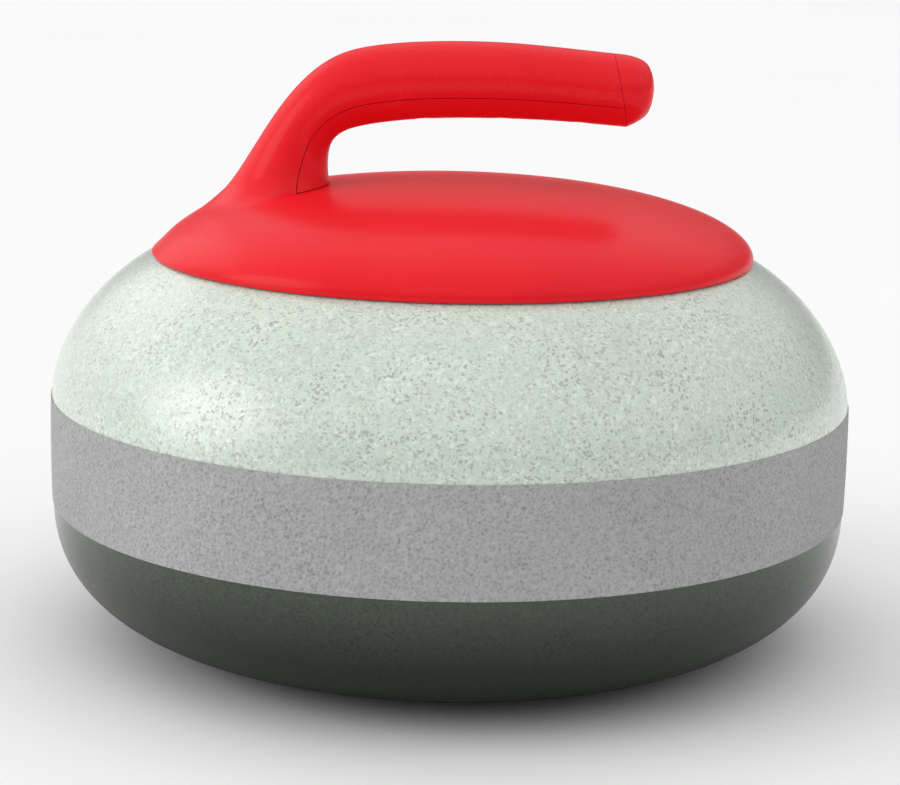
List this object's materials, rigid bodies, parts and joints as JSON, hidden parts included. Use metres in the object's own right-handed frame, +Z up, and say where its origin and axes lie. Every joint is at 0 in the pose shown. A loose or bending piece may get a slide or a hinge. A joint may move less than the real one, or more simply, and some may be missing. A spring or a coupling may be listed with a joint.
{
  "type": "curling stone",
  "caption": "Granite curling stone with a dulled striking band, a bonded running insert and a gooseneck handle on a domed cover.",
  "frame": {"origin": "centre of the running ring, in the plane of the ice that the stone rests on", "axes": "+Z up along the stone's axis, +X along the grip towards its free end, +Y to the left of someone looking along the grip to its free end"},
  "size_m": [0.278, 0.278, 0.2068],
  "materials": {
    "body_granite": "polished",
    "insert_granite": "satin",
    "epoxy": "satin",
    "white_nylon": "satin",
    "black_rubber": "matte",
    "plated_steel": "satin",
    "insert_brass": "satin",
    "black_nylon": "satin",
    "red_plastic": "gloss",
    "core_aluminium": "satin"
  },
  "bodies": {
    "stone": {"stone_body": "body_granite", "running_insert": "insert_granite", "insert_bond": "epoxy", "bore_sleeve": "white_nylon", "threaded_insert": "insert_brass", "base_plate": "black_nylon", "friction_ring": "black_rubber", "rim_gasket": "black_rubber", "handle_shell": "red_plastic", "grip_under_shell": "red_plastic", "grip_end_cap": "red_plastic", "handle_core": "core_aluminium", "cover_screws": "plated_steel", "core_screws": "plated_steel", "grip_screws": "plated_steel"},
    "washers": {"cushion_washer": "black_rubber", "plain_washer": "plated_steel", "lock_washer": "plated_steel"},
    "bolt": {"through_bolt": "plated_steel"}
  },
  "joints": [
    {"name": "bolt_back_out", "type": "slide", "parent": "stone", "child": "washers", "axis": [0, 0, -1], "range_m": [0, 0.02]},
    {"name": "bolt_turn", "type": "hinge", "parent": "washers", "child": "bolt", "pos_m": [0, 0, 0.0118], "axis": [0, 0, -1], "range_deg": [0, 5760]}
  ],
  "couplings": [
    {"joint": "bolt_turn", "follows": "bolt_back_out", "rad_per_m": 5026.5}
  ]
}
